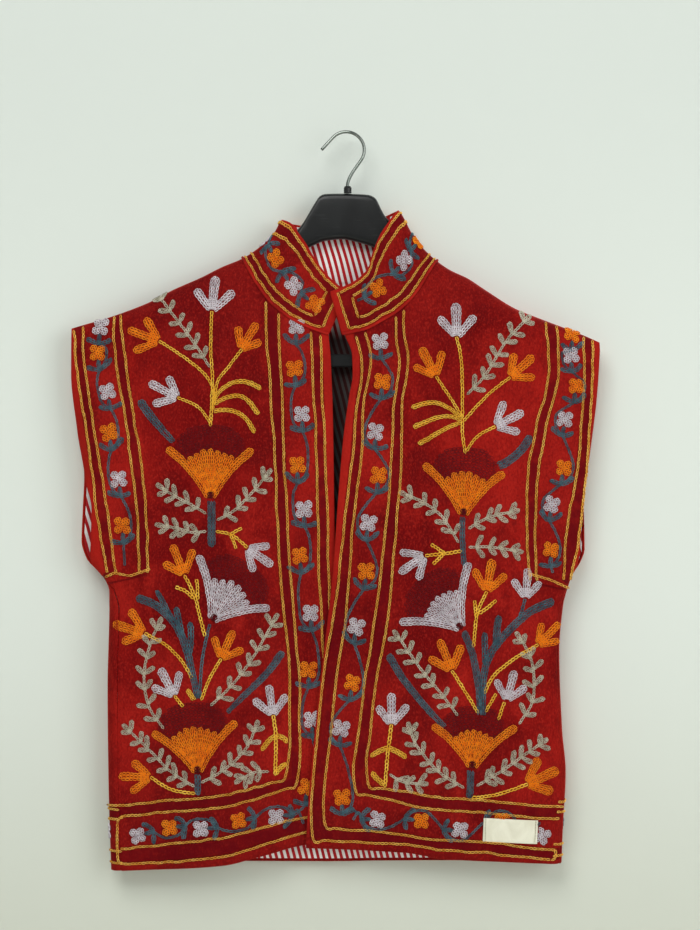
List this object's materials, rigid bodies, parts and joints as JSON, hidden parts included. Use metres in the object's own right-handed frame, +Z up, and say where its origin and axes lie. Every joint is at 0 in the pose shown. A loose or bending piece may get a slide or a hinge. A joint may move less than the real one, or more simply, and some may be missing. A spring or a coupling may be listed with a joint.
{
  "type": "velvet jacket on a hanger",
  "caption": "Open-fronted red velvet jacket with cap shoulders, standing collar and striped lining, hanging flat on a moulded hanger with a wire hook.",
  "frame": {"origin": "underside of the hook's arc, where a nail or a rail carries the hanger", "axes": "+Z up, the jacket's front faces -Y, +X towards the viewer's right when its front is looked at"},
  "size_m": [0.5711, 0.0432, 0.7994],
  "materials": {
    "velvet": "deep red cotton velvet with chain-stitch embroidery in gold, orange, lilac, slate blue and sage, and maroon stripes between the gold lines",
    "lining": "white and red striped cotton",
    "label": "bare cream woven tape",
    "hanger": "black satin moulded plastic",
    "hook": "bright chromed wire"
  },
  "bodies": {
    "root": {"front_left": "velvet", "lining_front_left": "lining", "front_right": "velvet", "lining_front_right": "lining", "back": "velvet", "lining_back": "lining", "collar": "velvet", "collar_lining": "lining", "hem_label": "label", "hanger_body": "hanger", "hanger_bar": "hanger", "hanger_ferrule": "hanger", "hook": "hook"}
  },
  "joints": []
}
